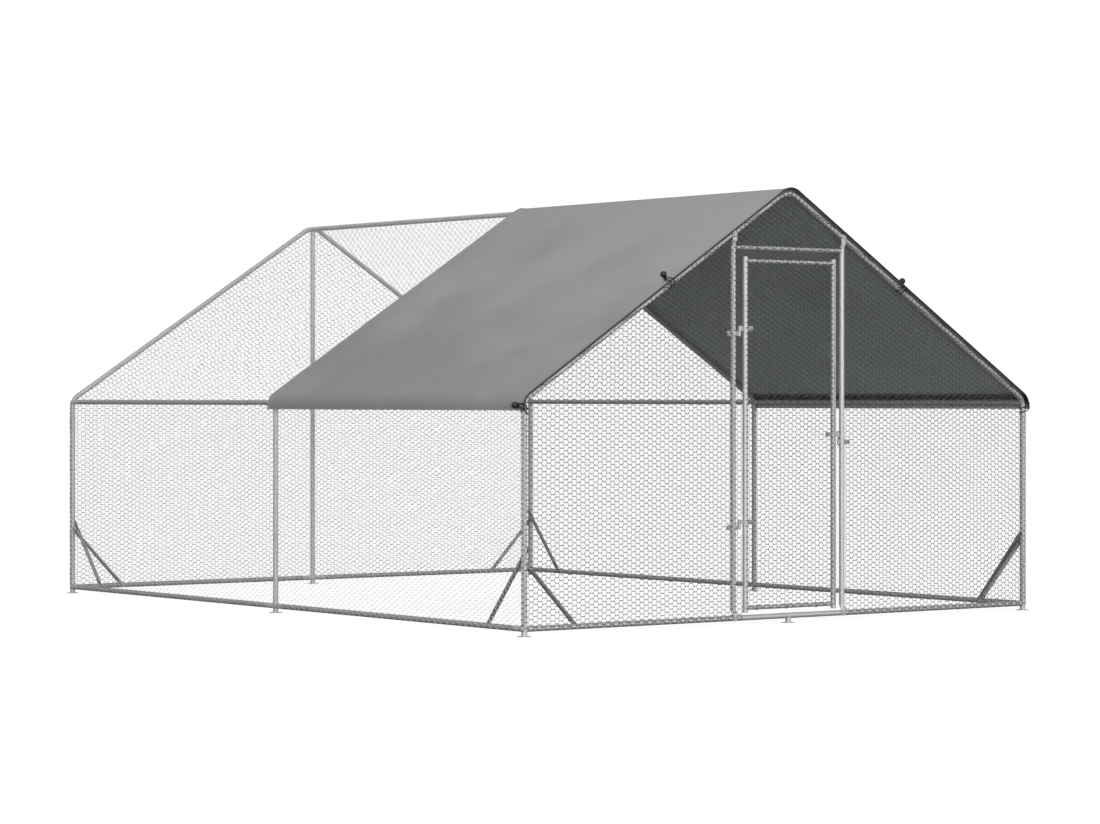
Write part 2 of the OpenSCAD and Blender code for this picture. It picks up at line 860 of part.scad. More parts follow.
foot(-half_w, front_y, [1], [1]);  // front_left_foot
foot(half_w, front_y, [-1], [1]);  // front_right_foot
foot(-half_w, rear_y, [1], [-1]);  // rear_left_foot
foot(half_w, rear_y, [-1], [-1]);  // rear_right_foot
foot(-half_w, mid_y, [], [-1, 1]);  // middle_left_foot
foot(half_w, mid_y, [], [-1, 1]);  // middle_right_foot
tee_foot();  // front_centre_foot
foot(0, rear_y, [-1, 1], []);  // rear_centre_foot
post(-1, front_y);  // front_left_post
post(1, front_y);  // front_right_post
post(-1, mid_y);  // middle_left_post
post(1, mid_y);  // middle_right_post
post(-1, rear_y);  // rear_left_post
post(1, rear_y);  // rear_right_post
gable_post();  // rear_centre_post
gable_ground(front_y, tee_arm);  // front_ground_tubes
gable_ground(rear_y, foot_arm);  // rear_ground_tubes
wall_ground(-1);  // left_ground_tubes
wall_ground(1);  // right_ground_tubes
eave_elbow(-1, front_y, [1]);  // front_left_elbow
eave_elbow(1, front_y, [1]);  // front_right_elbow
eave_elbow(-1, mid_y, [-1, 1]);  // middle_left_elbow
eave_elbow(1, mid_y, [-1, 1]);  // middle_right_elbow
eave_elbow(-1, rear_y, [-1]);  // rear_left_elbow
eave_elbow(1, rear_y, [-1]);  // rear_right_elbow
color(steel) side_tubes(-eave_x, eave_z, side_arm);  // left_eave_tubes
color(steel) side_tubes(eave_x, eave_z, side_arm);  // right_eave_tubes
front_rafter(-1);  // front_left_rafter
front_rafter(1);  // front_right_rafter
color(steel) for (side = [-1, 1]) rafter(side, mid_y);  // middle_rafters
color(steel) for (side = [-1, 1]) rafter(side, rear_y);  // rear_rafters
apex(front_y, [1]);  // front_apex
apex(mid_y, [-1, 1]);  // middle_apex
post_apex(rear_y);  // rear_apex
color(steel) side_tubes(0, ridge_z, side_arm);  // ridge_tubes
door_post(hinge_post_x);  // hinge_post
door_post(latch_post_x);  // latch_post
color(steel) cross_tube(hinge_post_x, latch_post_x, lintel_z);  // door_lintel
corner_braces();
wall_net(-1);  // left_wall_net
wall_net(1);  // right_wall_net
roof_net(-1);  // left_roof_net
roof_net(1);  // right_roof_net
rear_gable_net();
gable_part_net(-run_w, hinge_post_x - post_clear / 2, 0);  // front_left_net
gable_part_net(latch_post_x + post_clear / 2, run_w, 0);  // front_right_net
union() {  // door_head_net
    gable_part_net(hinge_post_x + lintel_end, latch_post_x - lintel_end, lintel_z - net_lap);
}
roof_cover();
bungee_balls();
bungee_loops();
brace_screws();
frame_bolts();
post_straps();
stile(hinge_stile_x);  // hinge_stile
stile(latch_stile_x);  // latch_stile
door_rails();
door_net();
leaf_straps();
leaf_bolts();
latch_pin();
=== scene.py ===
import json
import math

import bpy
import numpy as np
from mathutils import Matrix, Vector

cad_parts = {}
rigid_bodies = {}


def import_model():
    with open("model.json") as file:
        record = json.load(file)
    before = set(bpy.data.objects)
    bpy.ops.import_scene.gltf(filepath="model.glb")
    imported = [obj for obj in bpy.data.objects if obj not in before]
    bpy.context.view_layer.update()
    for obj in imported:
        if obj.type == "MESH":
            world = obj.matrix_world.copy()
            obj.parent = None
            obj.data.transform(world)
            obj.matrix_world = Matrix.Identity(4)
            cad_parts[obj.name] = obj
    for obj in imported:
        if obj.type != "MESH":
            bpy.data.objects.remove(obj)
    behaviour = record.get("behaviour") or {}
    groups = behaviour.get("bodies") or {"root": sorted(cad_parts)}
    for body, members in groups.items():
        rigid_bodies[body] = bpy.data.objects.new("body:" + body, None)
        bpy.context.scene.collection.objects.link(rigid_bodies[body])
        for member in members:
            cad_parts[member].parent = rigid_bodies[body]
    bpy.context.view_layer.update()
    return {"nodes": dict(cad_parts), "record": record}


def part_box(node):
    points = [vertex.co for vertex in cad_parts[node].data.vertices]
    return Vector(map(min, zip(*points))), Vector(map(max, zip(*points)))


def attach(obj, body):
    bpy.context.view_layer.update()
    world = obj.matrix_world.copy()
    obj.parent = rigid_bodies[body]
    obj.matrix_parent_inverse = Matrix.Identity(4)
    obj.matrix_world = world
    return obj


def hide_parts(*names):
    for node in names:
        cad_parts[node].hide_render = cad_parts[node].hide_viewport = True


for old in list(bpy.data.objects):
    bpy.data.objects.remove(old)

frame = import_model()

# Sizes in metres, as in the part's source
HALF_W = 1.5
HALF_L = 2.0
CORNER_Z = 1.018
PEAK_Z = 1.979
EAVE_BEND = 0.057
APEX_BEND = 0.100
HEM_Z = 0.973
COVER_FRONT = 0.025
COVER_BACK = 0.040
HINGE_POST = -0.3285
LATCH_POST = 0.3277
HINGE_STILE = -0.257
LATCH_STILE = 0.2757
HINGE_Z = (0.454, 1.329)
LINTEL_Z = 1.7077
RAIL_LOW = 0.0763
RAIL_TOP = 1.6476
TUBE_R = 0.0125
THIN_R = 0.0095

# What follows from those sizes
SLOPE = math.atan((PEAK_Z - CORNER_Z) / HALF_W)
TURN = math.pi / 2 - SLOPE
EAVE_TANGENT = EAVE_BEND * math.tan(TURN / 2)
BEND_Z = CORNER_Z - EAVE_TANGENT
RAFTER_RUN = HALF_W / math.cos(SLOPE)
ARC_Z = PEAK_Z - APEX_BEND / math.cos(SLOPE)
foot_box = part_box("middle_left_foot")
MID_Y = (foot_box[0].y + foot_box[1].y) / 2
FRONT_Y = MID_Y - HALF_L
REAR_Y = MID_Y + HALF_L

# Netting: the cell, the wire, the lower edge, and how far nets lie off the tubes' axes and reach round them
CELL = 0.0249
SIDE = 0.0156
WIRE_R = 0.0008
TWIST_R = 0.0012
END_REACH = 0.6
NET_LOW = 0.014
NET_OFF = TUBE_R + 0.0010
GABLE_OFF = NET_OFF + 0.0022
WRAP = 0.030
LAP = 0.009

# Slow waves that drift the cells along u and v: size, turns by u, by v and by the net's phase
DRIFT_U = ((0.0012, 3.1, 31.0, 1.0), (0.0006, 77.0, -41.0, 2.0))
DRIFT_V = ((0.0012, 27.0, -5.3, 1.7), (0.0006, 53.0, 69.0, 1.0))

# Thickness of the wire, as a factor
FRONT_THICK = 1.5
REAR_THICK = 1.35
LEFT_WALL_THICK = 0.85
RIGHT_WALL_THICK = 0.8
ROOF_THICK = 0.9

# Where the nets of the door gable end, and the room for the hinge straps
FRONT_LEFT_END = HINGE_POST + 0.040
FRONT_RIGHT_START = LATCH_POST + 0.003
HEAD_END = LATCH_POST - 0.008
DOOR_START = HINGE_STILE - 0.013
DOOR_END = LATCH_STILE + 0.006
ABOVE_ALL = 2.0
STRAP_START = HINGE_POST + 0.024
HINGE_ROOM = 0.032

# Wire ties
TIE_R = THIN_R + TWIST_R + 0.0004
DOOR_TIES = (-0.190, -0.011, 0.167)
LINTEL_TIES = (-0.190, 0.042, 0.215)

# Cover: its skins, its rolled ends and the steps of its mesh
COVER_OFF = 0.0175
COVER_APEX = 0.065
SHEET_T = 0.0009
HEM_R = 0.0036
HEM_SIDES = 10
WALL_STEPS = 4
BEND_STEPS = 14
ROOF_STEPS = 60
COVER_ROWS = 64
# Which hem faces take the sheet's top colour as a painted lit side, the rest being painted shade: none on the
# front hem, most on the rear hem.
NONE_LIT = 1.0
UPPER_LIT = -0.1

# Materials: where the two tones stand on a noise, the depth of bumps, the sheet's specular level and
# the heights of the painted shade in its folds over the eave tubes
TONE_STOPS = (0.3, 0.7)
GRAIN_DEPTH = 0.0004
RIB_BUMP = 0.12
RIB_DEPTH = 0.0003
SHEET_SHINE = 0.15
FOLD_LOW = 1.004
FOLD_TOP = 1.038
FOLD_SOFT = 0.018

# Camera at the photograph's angle
LENS = 108.43
SENSOR = 36.0
SHIFT_Y = -0.01269
CLIP_END = 2000.0
VIEW_FROM = (-9.9652, -13.4563, 1.0264)
VIEW_TURN = math.radians(36.907)

# Light: area lights by name, place, size and power, and the world's strength below and above the horizon
AIM = (0.0, 0.0, 1.0)
LIGHTS = (
    ("key", (-7.0, -6.5, 7.5), 5.0, 730.0),
    ("front", (-6.5, -11.5, 1.8), 3.0, 850.0),
    ("right", (4.5, -14.5, 2.5), 3.0, 800.0),
)
DIM_FROM = -0.12
DIM_TO = -0.02
GLOW_BELOW = 0.22
GLOW_ABOVE = 1.08
FLOOR_REACH = 400
FLOOR_GLOW = 0.9


def add_camera():
    """The level camera of the main view."""
    data = bpy.data.cameras.new("camera")
    data.lens = LENS
    data.sensor_width = SENSOR
    data.sensor_fit = "HORIZONTAL"
    data.shift_y = SHIFT_Y
    data.clip_end = CLIP_END
    made = bpy.data.objects.new("camera", data)
    bpy.context.scene.collection.objects.link(made)
    made.location = (VIEW_FROM[0], VIEW_FROM[1] + MID_Y, VIEW_FROM[2])
    made.rotation_euler = (math.pi / 2, 0.0, -VIEW_TURN)
    bpy.context.scene.camera = made


add_camera()


# Materials
def add_node(tree, kind, **values):
    """A shader node with some of its inputs set."""
    made = tree.nodes.new(kind)
    for key, value in values.items():
        made.inputs[key.replace("_", " ")].default_value = value
    return made


def new_material(name):
    """A material with a principled shader; returns it with its tree and shader."""
    made = bpy.data.materials.new(name)
    made.use_nodes = True
    tree = made.node_tree
    return made, tree, tree.nodes["Principled BSDF"]


def two_tones(tree, value, low, high):
    """A colour between two tones, by a value about one half."""
    ramp = add_node(tree, "ShaderNodeValToRGB")
    for stop, position, tone in zip(ramp.color_ramp.elements, TONE_STOPS, (low, high)):
        stop.position = position
        stop.color = (*tone, 1)
    tree.links.new(value, ramp.inputs["Fac"])
    return ramp.outputs["Color"]


def vary_roughness(tree, shader, value, rough):
    """Roughness between two limits, by a value from 0 to 1."""
    spread = add_node(tree, "ShaderNodeMapRange", To_Min=rough[0], To_Max=rough[1])
    tree.links.new(value, spread.inputs["Value"])
    tree.links.new(spread.outputs["Result"], shader.inputs["Roughness"])


def add_bump(tree, shader, height, strength, distance):
    """A slight bump by a height."""
    lift = add_node(tree, "ShaderNodeBump", Strength=strength, Distance=distance)
    tree.links.new(height, lift.inputs["Height"])
    tree.links.new(lift.outputs["Normal"], shader.inputs["Normal"])


def mottled(name, low, high, rough, metal, scale, bump, shine=0.5):
    """Colour and roughness that vary with a fine noise, with a slight bump; shine is the specular level."""
    made, tree, shader = new_material(name)
    place = add_node(tree, "ShaderNodeTexCoord")
    noise = add_node(tree, "ShaderNodeTexNoise", Scale=scale, Detail=3.0, Roughness=0.55)
    tree.links.new(place.outputs["Object"], noise.inputs["Vector"])
    value = noise.outputs["Fac"]
    tree.links.new(two_tones(tree, value, low, high), shader.inputs["Base Color"])
    vary_roughness(tree, shader, value, rough)
    shader.inputs["Metallic"].default_value = metal
    shader.inputs["Specular IOR Level"].default_value = shine
    if bump:
        add_bump(tree, shader, value, bump, GRAIN_DEPTH)
    return made


def painted_fold_shade(tree, height, dark):
    """A factor for the colour that paints shade: dark in the folds over the eave tubes, where shade falls, 1
    below and above them.
    """
    lighter = add_node(tree, "ShaderNodeMath")
    lighter.operation = "MAXIMUM"
    limits = ((FOLD_LOW, FOLD_LOW - FOLD_SOFT), (FOLD_TOP, FOLD_TOP + FOLD_SOFT))
    for (start, end), entry in zip(limits, lighter.inputs):
        side = add_node(tree, "ShaderNodeMapRange", From_Min=start, From_Max=end, To_Min=dark, To_Max=1.0)
        tree.links.new(height, side.inputs["Value"])
        tree.links.new(side.outputs["Result"], entry)
    return lighter.outputs["Value"]


def woven(name, low, high, rough, painted_ridge_light, fold=1.0):
    """Woven plastic sheet: crossing ribs, a slow change of colour, painted light from the eaves to the ridge
    and painted shade in the folds over the eave tubes.
    """
    made, tree, shader = new_material(name)
    shader.inputs["Specular IOR Level"].default_value = SHEET_SHINE
    place = add_node(tree, "ShaderNodeTexCoord")
    slow = add_node(tree, "ShaderNodeTexNoise", Scale=2.2, Detail=4.0, Roughness=0.5)
    tree.links.new(place.outputs["Object"], slow.inputs["Vector"])
    split = add_node(tree, "ShaderNodeSeparateXYZ")
    tree.links.new(place.outputs["Object"], split.inputs["Vector"])
    height = split.outputs["Z"]
    # Painted light: the colour darkens toward the eaves and lightens toward the ridge.
    rise = add_node(tree, "ShaderNodeMapRange", From_Min=CORNER_Z, From_Max=PEAK_Z, To_Min=-painted_ridge_light, To_Max=painted_ridge_light)
    tree.links.new(height, rise.inputs["Value"])
    painted_tone = add_node(tree, "ShaderNodeMath")
    tree.links.new(slow.outputs["Fac"], painted_tone.inputs[0])
    tree.links.new(rise.outputs["Result"], painted_tone.inputs[1])
    shaded = add_node(tree, "ShaderNodeVectorMath")
    shaded.operation = "SCALE"
    tree.links.new(two_tones(tree, painted_tone.outputs["Value"], low, high), shaded.inputs["Vector"])
    # Painted shade: the colour darkens in the folds over the eave tubes.
    tree.links.new(painted_fold_shade(tree, height, fold), shaded.inputs["Scale"])
    tree.links.new(shaded.outputs["Vector"], shader.inputs["Base Color"])
    ribs = add_node(tree, "ShaderNodeMath")
    ribs.operation = "MULTIPLY"
    for axis, entry in zip(("X", "Y"), ribs.inputs):
        wave = add_node(tree, "ShaderNodeTexWave", Scale=120.0, Distortion=0.4)
        wave.bands_direction = axis
        tree.links.new(place.outputs["Object"], wave.inputs["Vector"])
        tree.links.new(wave.outputs["Fac"], entry)
    add_bump(tree, shader, ribs.outputs["Value"], RIB_BUMP, RIB_DEPTH)
    vary_roughness(tree, shader, slow.outputs["Fac"], rough)
    return made


def glowing_floor():
    """The floor's material, which glows white."""
    made = mottled("floor", (0.09, 0.09, 0.09), (0.11, 0.11, 0.11),
                   rough=(0.7, 0.8), metal=0.0, scale=1.5, bump=0.0, shine=0.0)
    shader = made.node_tree.nodes["Principled BSDF"]
    shader.inputs["Emission Color"].default_value = (1.0, 1.0, 1.0, 1)
    shader.inputs["Emission Strength"].default_value = FLOOR_GLOW
    return made


TUBE = mottled("galvanised_tube", (0.245, 0.25, 0.255), (0.315, 0.32, 0.325),
               rough=(0.48, 0.60), metal=0.55, scale=90.0, bump=0.10)
# The next two are darker copies of the galvanised tube: painted shade on the level tubes and on the corner
# braces.
SHADED_LEVEL_TUBE = mottled("shaded_level_tube", (0.165, 0.168, 0.172), (0.215, 0.219, 0.223),
                     rough=(0.45, 0.58), metal=0.55, scale=90.0, bump=0.10)
SHADED_BRACE = mottled("shaded_brace_tube", (0.13, 0.133, 0.136), (0.18, 0.183, 0.186),
                rough=(0.45, 0.58), metal=0.55, scale=90.0, bump=0.10)
# The netting's wire in lit and shaded copies of one material, painted light and shade: the dark copy for the
# front gable, the door and the ties, a shaded copy for the rear gable, and lit copies for the walls and the
# roofs.
WIRE = mottled("netting_wire", (0.022, 0.023, 0.024), (0.04, 0.041, 0.042),
               rough=(0.5, 0.65), metal=0.3, scale=40.0, bump=0.0)
LIT_WALL_WIRE = mottled("lit_wall_netting_wire", (0.34, 0.344, 0.348), (0.44, 0.444, 0.448),
                    rough=(0.45, 0.6), metal=0.3, scale=40.0, bump=0.0)
SHADED_REAR_WIRE = mottled("shaded_rear_netting_wire", (0.05, 0.051, 0.052), (0.08, 0.081, 0.082),
                    rough=(0.45, 0.6), metal=0.35, scale=40.0, bump=0.0)
LIT_FAR_WIRE = mottled("lit_far_netting_wire", (0.50, 0.505, 0.51), (0.62, 0.625, 0.63),
                   rough=(0.45, 0.6), metal=0.2, scale=40.0, bump=0.0)
STRAP = mottled("strap_steel", (0.22, 0.223, 0.226), (0.30, 0.303, 0.306),
                rough=(0.48, 0.60), metal=0.6, scale=160.0, bump=0.10)
DARK = mottled("dark_hardware", (0.012, 0.012, 0.013), (0.03, 0.03, 0.032),
               rough=(0.35, 0.55), metal=0.4, scale=200.0, bump=0.10)
BALL = mottled("ball_plastic", (0.004, 0.004, 0.004), (0.008, 0.008, 0.008),
               rough=(0.35, 0.5), metal=0.0, scale=120.0, bump=0.05, shine=0.25)
ELASTIC = mottled("elastic_cord", (0.004, 0.004, 0.004), (0.012, 0.012, 0.012),
                  rough=(0.7, 0.85), metal=0.0, scale=900.0, bump=0.5, shine=0.1)
# Top of the cover: its own colour with painted light, darker at the eaves and lighter at the ridge.
SHEET_TOP = woven("cover_sheet_top", (0.126, 0.126, 0.127), (0.166, 0.166, 0.167),
                  rough=(0.6, 0.68), painted_ridge_light=0.22)
# Underside of the cover: its own colour with painted shade in its folds over the eave tubes.
SHEET_UNDER = woven("cover_sheet_under", (0.222, 0.246, 0.234), (0.283, 0.312, 0.298),
                    rough=(0.6, 0.68), painted_ridge_light=0.0, fold=0.06)
# Near-black rolled hem: painted shade on the cover's rolled edges.
SHADED_HEM = mottled("shaded_cover_hem", (0.012, 0.012, 0.012), (0.022, 0.022, 0.022),
              rough=(0.6, 0.75), metal=0.0, scale=60.0, bump=0.2, shine=0.2)
FLOOR = glowing_floor()

# Painted shade: darker copies of the tube for the braces and the level tubes.
BY_NODE = {
    "corner_braces": SHADED_BRACE, "left_ground_tubes": SHADED_LEVEL_TUBE, "rear_ground_tubes": SHADED_LEVEL_TUBE,
    "left_eave_tubes": SHADED_LEVEL_TUBE, "ridge_tubes": SHADED_LEVEL_TUBE,
}
BY_SLOT = {
    "galvanised_tube": TUBE, "netting": WIRE, "strap_steel": STRAP, "dark_hardware": DARK,
    "cover_sheet": SHEET_TOP, "ball_plastic": BALL, "elastic_cord": ELASTIC,
}
for entry in frame["record"]["subparts"]:
    cad = frame["nodes"][entry["node"]]
    cad.data.materials.clear()
    cad.data.materials.append(BY_NODE.get(entry["node"], BY_SLOT[entry["material_slot"]]))


def mesh_object(name, verts, faces, materials, indices=None, smooth=True):
    """A mesh from arrays of points and of equally long faces."""
    verts = np.asarray(verts, np.float32)
    faces = np.asarray(faces, np.int32)
    mesh = bpy.data.meshes.new(name)
    mesh.vertices.add(len(verts))
    mesh.vertices.foreach_set("co", verts.ravel())
    mesh.loops.add(faces.size)
    mesh.loops.foreach_set("vertex_index", faces.ravel())
    mesh.polygons.add(len(faces))
    mesh.polygons.foreach_set("loop_start", np.arange(0, faces.size, faces.shape[1], dtype=np.int32))
    for material in materials:
        mesh.materials.append(material)
    if indices is not None:
        mesh.polygons.foreach_set("material_index", np.asarray(indices, np.int32))
    mesh.polygons.foreach_set("use_smooth", np.full(len(faces), smooth))
    mesh.update(calc_edges=True)
    mesh.validate()
    made = bpy.data.objects.new(name, mesh)
    bpy.context.scene.collection.objects.link(made)
    return made


# Wire netting
def lattice(u0, u1, v0, v1):
    """Every wire of a hexagonal net over a rectangle: two ends in (u, v) and whether the wire is twisted."""
    step = 1.5 * SIDE
    columns = np.arange(math.floor(u0 / step) - 1, math.ceil(u1 / step) + 2)
    rows = np.arange(math.floor(v0 / CELL) - 1, math.ceil(v1 / CELL) + 2)
    i, j = np.meshgrid(columns, rows, indexing="ij")
    cu = (i * step).ravel()
    cv = ((j + 0.5 * (i % 2)) * CELL).ravel()
    half = SIDE / 2
    tall = CELL / 2
    parts = [
        (cu - half, cv + tall, cu + half, cv + tall, np.ones(cu.size, bool)),
        (cu + half, cv + tall, cu + SIDE, cv, np.zeros(cu.size, bool)),
        (cu + SIDE, cv, cu + half, cv - tall, np.zeros(cu.size, bool)),
    ]
    a = np.concatenate([np.stack([p[0], p[1]], 1) for p in parts])
    b = np.concatenate([np.stack([p[2], p[3]], 1) for p in parts])
    return a, b, np.concatenate([p[4] for p in parts])


def settle(points, phase):
    """A slow drift of the cells, as in hand-stretched netting."""
    u, v = points[:, 0], points[:, 1]
    drift = []
    for waves in (DRIFT_U, DRIFT_V):
        drift.append(sum(size * np.sin(by_u * u + by_v * v + by_phase * phase)
                         for size, by_u, by_v, by_phase in waves))
    return points + np.stack(drift, 1)


def wires(name, a, b, twisted, place, normal, body, material, thick):
    """Three-sided wires between pairs of points in (u, v), put in space by place and normal."""
    pa, pb = place(a), place(b)
    along = pb - pa
    along /= np.maximum(np.linalg.norm(along, axis=1, keepdims=True), 1e-9)
    up = normal((a + b) / 2)
    across = np.cross(along, up)
    across /= np.maximum(np.linalg.norm(across, axis=1, keepdims=True), 1e-9)
    up = np.cross(across, along)
    radius = thick * np.where(twisted, TWIST_R, WIRE_R)[:, None]
    reach = along * radius * END_REACH
    corners = []
    for end in (pa - reach, pb + reach):
        for angle in (90, 210, 330):
            turned = math.radians(angle)
            corners.append(end + radius * (math.cos(turned) * across + math.sin(turned) * up))
    verts = np.stack(corners, 1).reshape(-1, 3)
    base = np.arange(len(a), dtype=np.int32)[:, None, None] * 6
    quads = np.array([[0, 1, 4, 3], [1, 2, 5, 4], [2, 0, 3, 5]], np.int32)[None]
    made = mesh_object(name, verts, (base + quads).reshape(-1, 4), [material], smooth=False)
    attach(made, body)
    return made


def profile(side, away, apex_bend=APEX_BEND, wrap=True):
    """Place and normal on the wall, round the eave and up the roof, and where each stretch ends.

    u runs along Y, v up from the nets' lower edge. With wrap, what lies past the end frames turns round
    their tubes.
    """
    wall = BEND_Z - NET_LOW
    eave_r, apex_r = EAVE_BEND + away, apex_bend + away
    roof = RAFTER_RUN - EAVE_TANGENT - apex_bend * math.tan(SLOPE)
    arc_z = PEAK_Z - apex_bend / math.cos(SLOPE)
    ends = np.cumsum([wall, eave_r * TURN, roof, apex_r * SLOPE])

    def eave_turn(v):
        return np.clip((v - ends[0]) / eave_r, 0, TURN)

    def apex_turn(v):
        return np.clip((v - ends[2]) / apex_r, 0, SLOPE)

    def upright(v):
        lean = eave_turn(v) + apex_turn(v)
        return np.stack([side * np.cos(lean), np.zeros(len(lean)), np.sin(lean)], 1)

    def past(u):
        y = np.clip(u, FRONT_Y, REAR_Y) if wrap else u
        return y, (u - y) / away

    def place(p):
        v = p[:, 1]
        t = eave_turn(v)
        k = apex_turn(v)
        up = np.clip(v - ends[1], 0, roof)
        x = HALF_W - EAVE_BEND + eave_r * np.cos(t) - up * math.cos(SLOPE)
        z = NET_LOW + np.minimum(v, wall) + eave_r * np.sin(t) + up * math.sin(SLOPE)
        over = v > ends[2]
        x = np.where(over, apex_r * np.sin(SLOPE - k), x)
        z = np.where(over, arc_z + apex_r * np.cos(SLOPE - k), z)
        y, angle = past(p[:, 0])
        sunk = away * (1 - np.cos(angle))[:, None] * upright(v)
        return np.stack([side * x, y + away * np.sin(angle), z], 1) - sunk

    def normal(p):
        angle = past(p[:, 0])[1][:, None]
        return np.cos(angle) * upright(p[:, 1]) + np.sin(angle) * np.array([0.0, 1.0, 0.0])

    return place, normal, ends


def flat_wall(y, way):
    """Place and normal on a gable; u runs along X and on round the corner posts, v is the height."""
    def past(u):
        return np.sign(u) * np.maximum(np.abs(u) - HALF_W, 0) / GABLE_OFF

    def place(p):
        angle = past(p[:, 0])
        x = np.clip(p[:, 0], -HALF_W, HALF_W) + GABLE_OFF * np.sin(angle)
        return np.stack([x, y + way * GABLE_OFF * np.cos(angle), p[:, 1]], 1)

    def normal(p):
        angle = past(p[:, 0])
        return np.stack([np.sin(angle), way * np.cos(angle), np.zeros(len(p))], 1)

    return place, normal


def between(p, u0, u1, v0, v1):
    """True for points inside a rectangle."""
    return (p[:, 0] > u0) & (p[:, 0] < u1) & (p[:, 1] > v0) & (p[:, 1] < v1)


def under_roof(p):
    """True for points of a gable below the rafter lines, raised by the lap."""
    line = PEAK_Z - np.abs(p[:, 0]) * math.tan(SLOPE) + LAP / math.cos(SLOPE)
    return (p[:, 1] < line) & (p[:, 1] < ARC_Z + APEX_BEND + LAP)


def clear_of_hinges(p):
    """False where the leaf's hinge straps swing past the hinge post."""
    at_strap = np.zeros(len(p), bool)
    for z in HINGE_Z:
        at_strap |= np.abs(p[:, 1] - z) < HINGE_ROOM
    return ~(at_strap & (p[:, 0] > STRAP_START))


def keep(a, b, twisted, test):
    """The wires with both ends inside."""
    inside = test(a) & test(b)
    return a[inside], b[inside], twisted[inside]


def side_nets(side, word, wall_wire, wall_thick):
    """The net of one wall and one roof slope, in three pieces."""
    place, normal, ends = profile(side, NET_OFF)
    limits = (FRONT_Y - WRAP, REAR_Y + WRAP, 0.0, ends[3])
    a, b, twisted = keep(*lattice(*limits), lambda p: between(p, *limits))
    a, b = settle(a, side), settle(b, side)
    middle = (a + b) / 2
    low = middle[:, 1] < (ends[0] + ends[1]) / 2
    front = middle[:, 0] < MID_Y
    for name, chosen, material, thick in (
            (f"{word}_wall_wire", low, wall_wire, wall_thick),
            (f"{word}_roof_wire_front", ~low & front, LIT_WALL_WIRE, ROOF_THICK),
            (f"{word}_roof_wire_rear", ~low & ~front, LIT_WALL_WIRE, ROOF_THICK)):
        wires(name, a[chosen], b[chosen], twisted[chosen], place, normal,
                           "frame", material, thick)
    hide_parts(f"{word}_wall_net")
    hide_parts(f"{word}_roof_net")


def gable_net(name, node, y, way, test, phase, body="frame", material=WIRE, thick=FRONT_THICK):
    """A net on a gable or on the door."""
    place, normal = flat_wall(y, way)
    a, b, twisted = keep(*lattice(-HALF_W - WRAP, HALF_W + WRAP, 0.0, PEAK_Z), test)
    made = wires(name, settle(a, phase), settle(b, phase), twisted, place, normal, body, material, thick)
    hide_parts(node)


# Which points of the gables each net covers
def in_rear_gable(p):
    return under_roof(p) & between(p, -HALF_W - WRAP, HALF_W + WRAP, NET_LOW, ABOVE_ALL)


def in_front_left(p):
    return under_roof(p) & between(p, -HALF_W - WRAP, FRONT_LEFT_END, NET_LOW, ABOVE_ALL) & clear_of_hinges(p)


def in_front_right(p):
    return under_roof(p) & between(p, FRONT_RIGHT_START, HALF_W + WRAP, NET_LOW, ABOVE_ALL)


def in_door_head(p):
    return under_roof(p) & between(p, HINGE_POST, HEAD_END, LINTEL_Z - LAP, ABOVE_ALL)


def in_door(p):
    return between(p, DOOR_START, DOOR_END, RAIL_LOW - LAP, RAIL_TOP + LAP)


# Painted light: lit copies of the wire on the walls and roofs; painted shade: a shaded copy on the rear gable
# and the dark copy on the front gable and door.
side_nets(-1, "left", LIT_WALL_WIRE, LEFT_WALL_THICK)
side_nets(1, "right", LIT_FAR_WIRE, RIGHT_WALL_THICK)
gable_net("rear_gable_wire", "rear_gable_net", REAR_Y, 1.0, in_rear_gable, phase=0.4,
          material=SHADED_REAR_WIRE, thick=REAR_THICK)
gable_net("front_left_wire", "front_left_net", FRONT_Y, -1.0, in_front_left, phase=1.1)
gable_net("front_right_wire", "front_right_net", FRONT_Y, -1.0, in_front_right, phase=2.3)
gable_net("door_head_wire", "door_head_net", FRONT_Y, -1.0, in_door_head, phase=3.0)
gable_net("door_wire", "door_net", FRONT_Y, -1.0, in_door, phase=4.2, body="door")


# Cover over the front bay
def cover_path(y, away):
    """Points and outward normals across the roof at one place along it, from hem to hem."""
    lines, leans = [], []
    for side in (-1, 1):
        place, normal, ends = profile(side, away, COVER_APEX, False)
        marks = np.concatenate([
            np.linspace(HEM_Z - NET_LOW, ends[0], WALL_STEPS, endpoint=False),
            np.linspace(ends[0], ends[1], BEND_STEPS, endpoint=False),
            np.linspace(ends[1], ends[2], ROOF_STEPS, endpoint=False),
            np.linspace(ends[2], ends[3], BEND_STEPS)])
        p = np.stack([np.full(len(marks), y), marks], 1)
        lines.append(place(p))
        leans.append(normal(p))
    return [np.concatenate([part[0], part[1][::-1][1:]]) for part in (lines, leans)]


